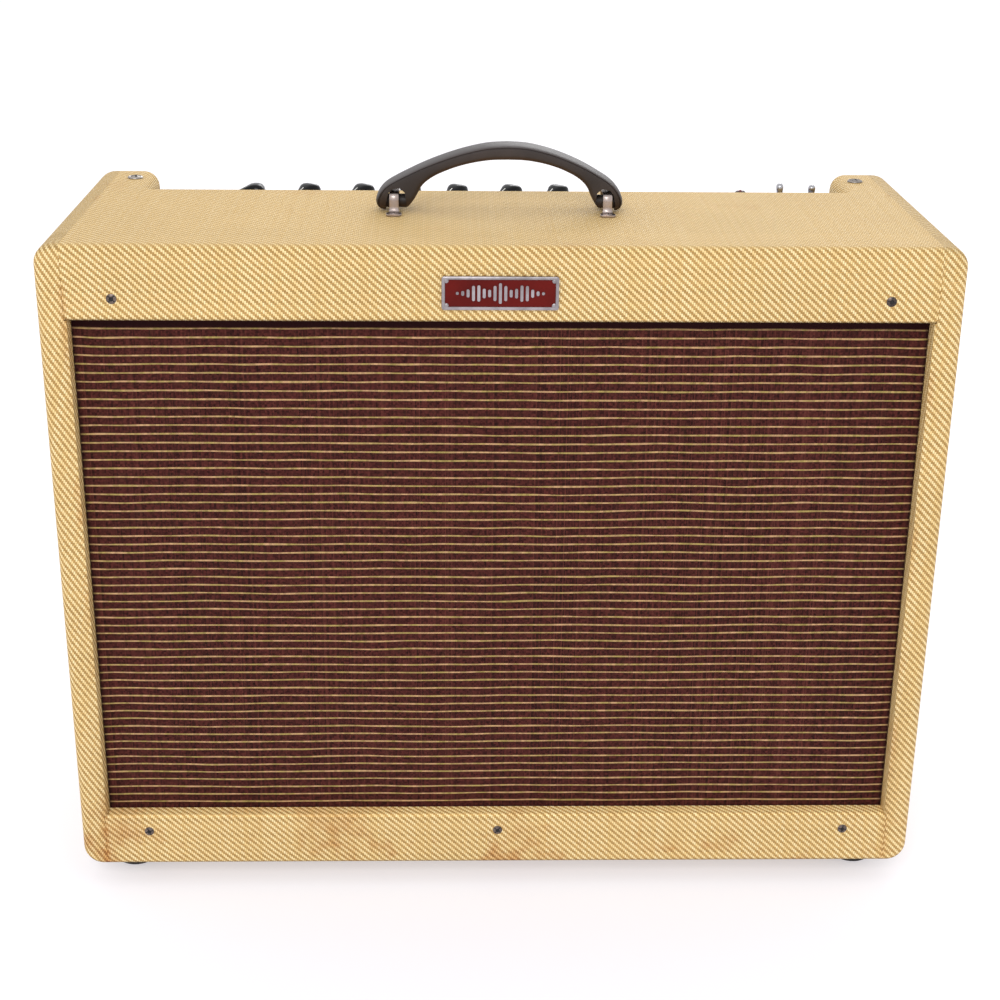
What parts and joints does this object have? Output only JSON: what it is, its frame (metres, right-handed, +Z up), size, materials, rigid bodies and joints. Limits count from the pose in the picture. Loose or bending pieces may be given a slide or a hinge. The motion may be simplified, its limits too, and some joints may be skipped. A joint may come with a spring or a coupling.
{
  "type": "guitar amplifier",
  "caption": "Open-back combo guitar amplifier in a tweed-covered cabinet, with a sloped back, a striped grille, a top-facing control panel and a carrying handle.",
  "frame": {"origin": "centre of the bounding box's base, on the surface that the feet stand on", "axes": "+X to the right seen from the front, -Y out of the grille, +Z up"},
  "size_m": [0.597, 0.2692, 0.5235],
  "materials": {
    "tweed": "lacquered twill cloth over pine boards, ochre and cream",
    "baffle_wood": "bare plywood",
    "grille_cloth": "oxblood grille cloth with thin gold stripes",
    "blackened_steel": "blackened screw heads",
    "badge": "dark red enamel in a nickel rim",
    "rubber": "black rubber",
    "handle": "moulded dark brown, slightly glossy",
    "chrome": "bright plate",
    "chassis_steel": "bright plated folded steel",
    "circuit_board": "bare circuit board with metal switch and control bodies",
    "jack_metal": "nickel-plated",
    "black_moulding": "black phenolic moulding",
    "jewel": "cut red lamp jewel",
    "transformer_steel": "black painted end bells and lacquered laminations",
    "tube_glass": "clear glass envelope",
    "tube_shield": "pressed can",
    "speaker_frame": "painted pressed steel",
    "speaker_magnet": "ferrite ring between steel plates",
    "speaker_paper": "ribbed paper",
    "reverb_pan": "zinc-plated pressed steel"
  },
  "bodies": {
    "cabinet": {"side_left": "tweed", "side_right": "tweed", "top_board": "tweed", "bottom_board": "tweed", "front_top_rail": "tweed", "front_bottom_rail": "tweed", "upper_back_panel": "tweed", "lower_back_panel": "tweed", "baffle_board": "baffle_wood", "grille_cloth": "grille_cloth", "baffle_screw_1": "blackened_steel", "baffle_screw_2": "blackened_steel", "baffle_screw_3": "blackened_steel", "baffle_screw_4": "blackened_steel", "baffle_screw_5": "blackened_steel", "badge_plate": "badge", "foot_front_left": "rubber", "foot_front_right": "rubber", "foot_rear_left": "rubber", "foot_rear_right": "rubber", "handle_bracket_left": "chrome", "handle_bracket_right": "chrome", "chassis_screw_left": "chrome", "chassis_screw_right": "chrome", "pilot_bezel": "chrome", "chassis": "chassis_steel", "control_board": "circuit_board", "input_jack_1": "jack_metal", "input_jack_2": "jack_metal", "footswitch_jack": "jack_metal", "power_tube_socket_1": "black_moulding", "power_tube_socket_2": "black_moulding", "power_inlet": "black_moulding", "fuse_cap": "black_moulding", "pilot_jewel": "jewel", "power_transformer": "transformer_steel", "output_transformer": "transformer_steel", "power_tube_1": "tube_glass", "power_tube_2": "tube_glass", "preamp_tube_1": "tube_shield", "preamp_tube_2": "tube_shield", "preamp_tube_3": "tube_shield", "speaker_basket": "speaker_frame", "speaker_magnet": "speaker_magnet", "reverb_tank": "reverb_pan"},
    "knob_1": {"knob_1": "black_moulding"},
    "knob_2": {"knob_2": "black_moulding"},
    "knob_3": {"knob_3": "black_moulding"},
    "knob_4": {"knob_4": "black_moulding"},
    "knob_5": {"knob_5": "black_moulding"},
    "knob_6": {"knob_6": "black_moulding"},
    "knob_7": {"knob_7": "black_moulding"},
    "knob_8": {"knob_8": "black_moulding"},
    "handle": {"handle_grip": "handle"},
    "standby_lever": {"standby_toggle": "chrome"},
    "power_lever": {"power_toggle": "chrome"},
    "bright_plunger": {"bright_button": "black_moulding"},
    "channel_plunger": {"channel_button": "black_moulding"},
    "speaker_membrane": {"speaker_cone": "speaker_paper", "speaker_dust_cap": "speaker_paper"}
  },
  "joints": [
    {"name": "knob_1_turn", "type": "hinge", "parent": "cabinet", "child": "knob_1", "pos_m": [-0.1798, 0.0756, 0.46425], "axis": [0, 0, -1], "range_deg": [-150, 150]},
    {"name": "knob_2_turn", "type": "hinge", "parent": "cabinet", "child": "knob_2", "pos_m": [-0.1398, 0.0756, 0.46425], "axis": [0, 0, -1], "range_deg": [-95, 205]},
    {"name": "knob_3_turn", "type": "hinge", "parent": "cabinet", "child": "knob_3", "pos_m": [-0.0998, 0.0756, 0.46425], "axis": [0, 0, -1], "range_deg": [-120, 180]},
    {"name": "knob_4_turn", "type": "hinge", "parent": "cabinet", "child": "knob_4", "pos_m": [-0.0651, 0.0756, 0.46425], "axis": [0, 0, -1], "range_deg": [-170, 130]},
    {"name": "knob_5_turn", "type": "hinge", "parent": "cabinet", "child": "knob_5", "pos_m": [-0.0304, 0.0756, 0.46425], "axis": [0, 0, -1], "range_deg": [-60, 240]},
    {"name": "knob_6_turn", "type": "hinge", "parent": "cabinet", "child": "knob_6", "pos_m": [0.0096, 0.0756, 0.46425], "axis": [0, 0, -1], "range_deg": [-140, 160]},
    {"name": "knob_7_turn", "type": "hinge", "parent": "cabinet", "child": "knob_7", "pos_m": [0.0443, 0.0756, 0.46425], "axis": [0, 0, -1], "range_deg": [-110, 190]},
    {"name": "knob_8_turn", "type": "hinge", "parent": "cabinet", "child": "knob_8", "pos_m": [0.079, 0.0756, 0.46425], "axis": [0, 0, -1], "range_deg": [-200, 100]},
    {"name": "standby_switch", "type": "hinge", "parent": "cabinet", "child": "standby_lever", "pos_m": [0.2112, 0.0756, 0.46005], "axis": [1, 0, 0], "range_deg": [0, 26]},
    {"name": "power_switch", "type": "hinge", "parent": "cabinet", "child": "power_lever", "pos_m": [0.2342, 0.0756, 0.46005], "axis": [1, 0, 0], "range_deg": [-26, 0]},
    {"name": "bright_press", "type": "slide", "parent": "cabinet", "child": "bright_plunger", "axis": [0, 0, -1], "range_m": [0, 0.003], "stiffness_N_per_m": 200, "springref_m": -0.001},
    {"name": "channel_press", "type": "slide", "parent": "cabinet", "child": "channel_plunger", "axis": [0, 0, -1], "range_m": [0, 0.003], "stiffness_N_per_m": 200, "springref_m": -0.001},
    {"name": "handle_tilt", "type": "hinge", "parent": "cabinet", "child": "handle", "pos_m": [0, -0.0294, 0.48295], "axis": [1, 0, 0], "range_deg": [-32, 32]},
    {"name": "cone_travel", "type": "slide", "parent": "cabinet", "child": "speaker_membrane", "axis": [0, -1, 0], "range_m": [-0.003, 0.003], "stiffness_N_per_m": 3000}
  ]
}
